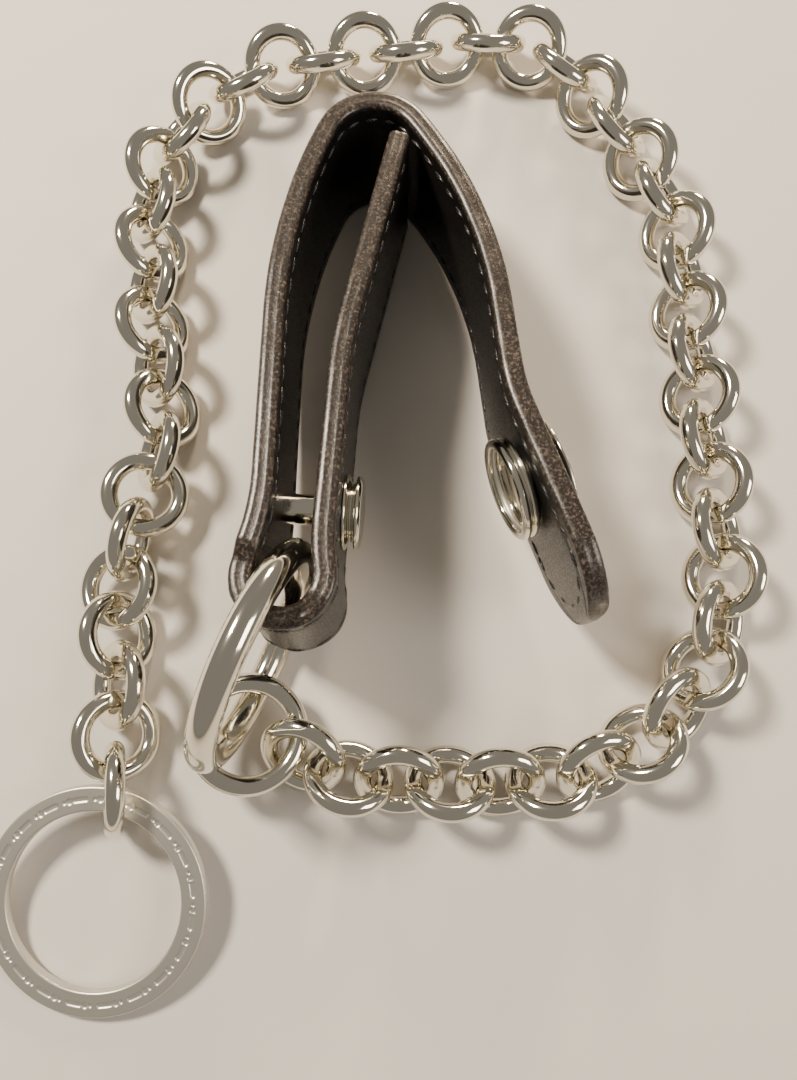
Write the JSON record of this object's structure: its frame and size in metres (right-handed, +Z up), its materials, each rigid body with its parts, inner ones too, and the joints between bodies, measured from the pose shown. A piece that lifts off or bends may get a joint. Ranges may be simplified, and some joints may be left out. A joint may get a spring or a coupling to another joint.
{
  "type": "trouser chain with belt loop",
  "caption": "Folded leather belt loop with snap flap and concho, heavy ring, jump ring, long round-link chain and flat key ring.",
  "frame": {"origin": "middle of the outline on the ground, bottom of the part", "axes": "+Z up from the ground, +Y from the key ring end along the belt loop to its bend, +X across to the flap side"},
  "size_m": [0.1122, 0.1606, 0.0331],
  "materials": {
    "black_leather": "waxed",
    "leather_lining": "smooth",
    "black_thread": "waxed thread",
    "polished_nickel": "polished",
    "satin_nickel": "satin",
    "spring_steel": "bright"
  },
  "bodies": {
    "belt_loop": {"belt_body_ply": "black_leather", "belt_body_lining": "leather_lining", "belt_stitching": "black_thread", "snap_cap": "polished_nickel", "snap_post": "polished_nickel", "snap_stud": "polished_nickel"},
    "belt_flap": {"flap_ply": "black_leather", "flap_lining": "leather_lining", "flap_stitching": "black_thread", "snap_socket": "polished_nickel", "snap_spring": "spring_steel", "concho_base": "polished_nickel", "concho_flower": "polished_nickel", "concho_screw": "polished_nickel"},
    "fold_ring": {"fold_ring": "polished_nickel"},
    "jump_ring": {"jump_ring": "polished_nickel"},
    "link_pair_01": {"link_pair_01": "polished_nickel"},
    "link_pair_02": {"link_pair_02": "polished_nickel"},
    "link_pair_03": {"link_pair_03": "polished_nickel"},
    "link_pair_04": {"link_pair_04": "polished_nickel"},
    "link_pair_05": {"link_pair_05": "polished_nickel"},
    "link_pair_06": {"link_pair_06": "polished_nickel"},
    "link_pair_07": {"link_pair_07": "polished_nickel"},
    "link_pair_08": {"link_pair_08": "polished_nickel"},
    "link_pair_09": {"link_pair_09": "polished_nickel"},
    "link_pair_10": {"link_pair_10": "polished_nickel"},
    "link_pair_11": {"link_pair_11": "polished_nickel"},
    "link_pair_12": {"link_pair_12": "polished_nickel"},
    "link_pair_13": {"link_pair_13": "polished_nickel"},
    "link_pair_14": {"link_pair_14": "polished_nickel"},
    "link_pair_15": {"link_pair_15": "polished_nickel"},
    "link_pair_16": {"link_pair_16": "polished_nickel"},
    "link_pair_17": {"link_pair_17": "polished_nickel"},
    "link_pair_18": {"link_pair_18": "polished_nickel"},
    "link_pair_19": {"link_pair_19": "polished_nickel"},
    "link_pair_20": {"link_pair_20": "polished_nickel"},
    "link_pair_21": {"link_pair_21": "polished_nickel"},
    "link_pair_22": {"link_pair_22": "polished_nickel"},
    "link_pair_23": {"link_pair_23": "polished_nickel"},
    "link_pair_24": {"link_pair_24": "polished_nickel"},
    "link_pair_25": {"link_pair_25": "polished_nickel"},
    "key_ring": {"key_ring": "satin_nickel"}
  },
  "joints": [
    {"name": "belt_flap_bend", "type": "hinge", "parent": "belt_loop", "child": "belt_flap", "pos_m": [-0.00121, 0.04076, 0.00062], "axis": [0, 0.0698, 0.9976], "range_deg": [-23.5, 6]},
    {"name": "fold_ring_swing", "type": "hinge", "parent": "belt_loop", "child": "fold_ring", "pos_m": [-0.01109, -0.01782, 0.01655], "axis": [0, 0, 1], "range_deg": [-4, 5]},
    {"name": "jump_ring_swing", "type": "hinge", "parent": "fold_ring", "child": "jump_ring", "pos_m": [-0.02116, -0.04154, 0.00742], "axis": [0, 0, 1], "range_deg": [-8, 4]},
    {"name": "link_pair_25_swing", "type": "hinge", "parent": "jump_ring", "child": "link_pair_25", "pos_m": [-0.01258, -0.04454, 0.00496], "axis": [0, 0, -1], "range_deg": [-8, 6]},
    {"name": "link_pair_24_swing", "type": "hinge", "parent": "link_pair_25", "child": "link_pair_24", "pos_m": [-0.00121, -0.04811, 0.0051], "axis": [0, 0, -1], "range_deg": [-6, 8]},
    {"name": "link_pair_23_swing", "type": "hinge", "parent": "link_pair_24", "child": "link_pair_23", "pos_m": [0.01317, -0.04861, 0.0051], "axis": [0, 0, 1], "range_deg": [-10, 10]},
    {"name": "link_pair_22_swing", "type": "hinge", "parent": "link_pair_23", "child": "link_pair_22", "pos_m": [0.02745, -0.04743, 0.0051], "axis": [0, 0, -1], "range_deg": [-6, 10]},
    {"name": "link_pair_21_swing", "type": "hinge", "parent": "link_pair_22", "child": "link_pair_21", "pos_m": [0.04, -0.04075, 0.0051], "axis": [0, 0, 1], "range_deg": [-10, 6]},
    {"name": "link_pair_20_swing", "type": "hinge", "parent": "link_pair_21", "child": "link_pair_20", "pos_m": [0.04835, -0.02925, 0.0051], "axis": [0, 0, -1], "range_deg": [-6, 12]},
    {"name": "link_pair_19_swing", "type": "hinge", "parent": "link_pair_20", "child": "link_pair_19", "pos_m": [0.05082, -0.01525, 0.0051], "axis": [0, 0, 1], "range_deg": [-12, 10]},
    {"name": "link_pair_18_swing", "type": "hinge", "parent": "link_pair_19", "child": "link_pair_18", "pos_m": [0.05007, -0.00087, 0.0051], "axis": [0, 0, -1], "range_deg": [-8, 12]},
    {"name": "link_pair_17_swing", "type": "hinge", "parent": "link_pair_18", "child": "link_pair_17", "pos_m": [0.04931, 0.01351, 0.0051], "axis": [0, 0, 1], "range_deg": [-12, 5]},
    {"name": "link_pair_16_swing", "type": "hinge", "parent": "link_pair_17", "child": "link_pair_16", "pos_m": [0.04856, 0.02789, 0.0051], "axis": [0, 0, -1], "range_deg": [-3, 12]},
    {"name": "link_pair_15_swing", "type": "hinge", "parent": "link_pair_16", "child": "link_pair_15", "pos_m": [0.04706, 0.04215, 0.0051], "axis": [0, 0, 1], "range_deg": [-12, 3]},
    {"name": "link_pair_14_swing", "type": "hinge", "parent": "link_pair_15", "child": "link_pair_14", "pos_m": [0.04106, 0.05516, 0.0051], "axis": [0, 0, -1], "range_deg": [-2, 12]},
    {"name": "link_pair_13_swing", "type": "hinge", "parent": "link_pair_14", "child": "link_pair_13", "pos_m": [0.03323, 0.06723, 0.0051], "axis": [0, 0, 1], "range_deg": [-12, 2]},
    {"name": "link_pair_12_swing", "type": "hinge", "parent": "link_pair_13", "child": "link_pair_12", "pos_m": [0.02146, 0.07458, 0.0051], "axis": [0, 0, -1], "range_deg": [-1, 10]},
    {"name": "link_pair_11_swing", "type": "hinge", "parent": "link_pair_12", "child": "link_pair_11", "pos_m": [0.00718, 0.07402, 0.0051], "axis": [0, 0, 1], "range_deg": [-12, 2]},
    {"name": "link_pair_10_swing", "type": "hinge", "parent": "link_pair_11", "child": "link_pair_10", "pos_m": [-0.00708, 0.07201, 0.0051], "axis": [0, 0, -1], "range_deg": [-2, 12]},
    {"name": "link_pair_09_swing", "type": "hinge", "parent": "link_pair_10", "child": "link_pair_09", "pos_m": [-0.02101, 0.06874, 0.0051], "axis": [0, 0, 1], "range_deg": [-12, 2]},
    {"name": "link_pair_08_swing", "type": "hinge", "parent": "link_pair_09", "child": "link_pair_08", "pos_m": [-0.03219, 0.06, 0.0051], "axis": [0, 0, -1], "range_deg": [-3, 12]},
    {"name": "link_pair_07_swing", "type": "hinge", "parent": "link_pair_08", "child": "link_pair_07", "pos_m": [-0.03796, 0.04704, 0.0051], "axis": [0, 0, 1], "range_deg": [-12, 3]},
    {"name": "link_pair_06_swing", "type": "hinge", "parent": "link_pair_07", "child": "link_pair_06", "pos_m": [-0.03784, 0.03272, 0.0051], "axis": [0, 0, -1], "range_deg": [-4, 12]},
    {"name": "link_pair_05_swing", "type": "hinge", "parent": "link_pair_06", "child": "link_pair_05", "pos_m": [-0.03646, 0.0184, 0.0051], "axis": [0, 0, 1], "range_deg": [-12, 5]},
    {"name": "link_pair_04_swing", "type": "hinge", "parent": "link_pair_05", "child": "link_pair_04", "pos_m": [-0.03464, 0.00417, 0.0054], "axis": [0, 0, -1], "range_deg": [-6, 12]},
    {"name": "link_pair_03_swing", "type": "hinge", "parent": "link_pair_04", "child": "link_pair_03", "pos_m": [-0.03695, -0.01, 0.00635], "axis": [0, 0, 1], "range_deg": [-10, 8]},
    {"name": "link_pair_02_swing", "type": "hinge", "parent": "link_pair_03", "child": "link_pair_02", "pos_m": [-0.03901, -0.02415, 0.0059], "axis": [0, 0, -1], "range_deg": [-3, 12]},
    {"name": "link_pair_01_swing", "type": "hinge", "parent": "link_pair_02", "child": "link_pair_01", "pos_m": [-0.03825, -0.03853, 0.0055], "axis": [0, 0, 1], "range_deg": [-10, 10]},
    {"name": "key_ring_swing", "type": "hinge", "parent": "link_pair_01", "child": "key_ring", "pos_m": [-0.03647, -0.0511, 0.00611], "axis": [0, 0, 1], "range_deg": [-1, 9]}
  ]
}
